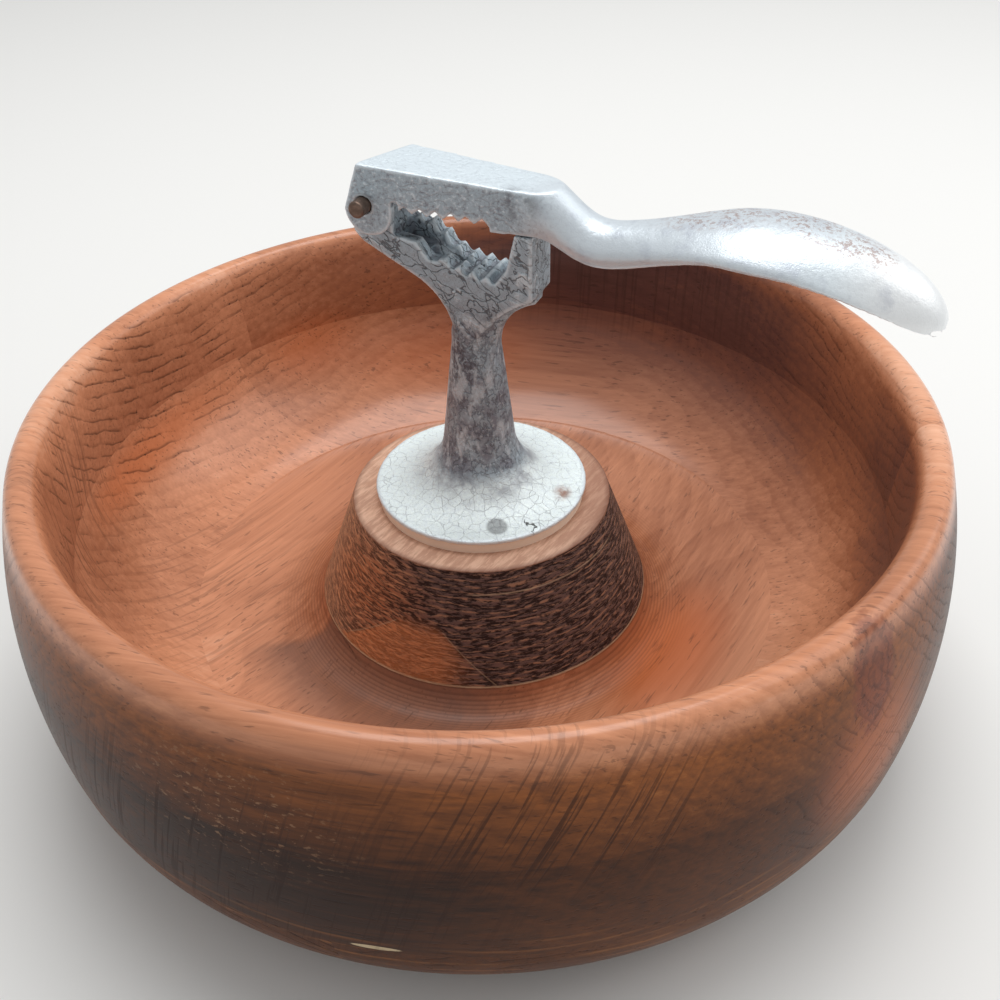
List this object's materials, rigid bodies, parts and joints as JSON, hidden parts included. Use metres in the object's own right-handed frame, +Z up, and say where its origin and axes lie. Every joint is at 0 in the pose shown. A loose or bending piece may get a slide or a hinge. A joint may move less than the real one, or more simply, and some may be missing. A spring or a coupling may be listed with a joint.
{
  "type": "lever nutcracker press",
  "caption": "Cast metal lever nutcracker press on the wooden pedestal of a turned nut bowl; the toothed jaw closes when the handle is pushed down.",
  "frame": {"origin": "centre of the bowl's underside, on the ground and on the axis that the bowl was turned about", "axes": "+Z up along the post; +X from the post along the closed lever to the tip of its handle; +Y away from the side that the pivot pin stands out of"},
  "size_m": [0.2614, 0.2614, 0.1613],
  "materials": {
    "rim_wood": "satin lacquer, red-brown",
    "wall_wood": "satin lacquer, red-brown",
    "pedestal_wood": "satin lacquer, dark brown",
    "base_wood": "satin lacquer, orange-brown",
    "spacer": "bare, pale cream",
    "stand_casting": "as cast, dull grey",
    "lever_casting": "as cast, handle worn bright",
    "pin_steel": "dull, browned",
    "fastener_steel": "plain steel"
  },
  "bodies": {
    "bowl_and_stand": {"rim_plank_back": "rim_wood", "rim_plank_back_left": "rim_wood", "rim_plank_back_right": "rim_wood", "rim_plank_front_left": "rim_wood", "rim_plank_front_right": "rim_wood", "rim_plank_front": "rim_wood", "wall_plank_back": "wall_wood", "wall_plank_back_left": "wall_wood", "wall_plank_back_right": "wall_wood", "wall_plank_front_left": "wall_wood", "wall_plank_front_right": "wall_wood", "wall_plank_front": "wall_wood", "pedestal_plank_back": "pedestal_wood", "pedestal_plank_front": "pedestal_wood", "base_plank_left": "base_wood", "base_plank_middle": "base_wood", "base_plank_right": "base_wood", "spacer_disc": "spacer", "press_stand": "stand_casting", "pivot_pin": "pin_steel", "mounting_bolt": "fastener_steel", "mounting_washer": "fastener_steel"},
    "lever": {"press_lever": "lever_casting"}
  },
  "joints": [
    {"name": "lever_pivot", "type": "hinge", "parent": "bowl_and_stand", "child": "lever", "pos_m": [-0.0258, 0, 0.1508], "axis": [0, -1, 0], "range_deg": [0, 85]}
  ]
}
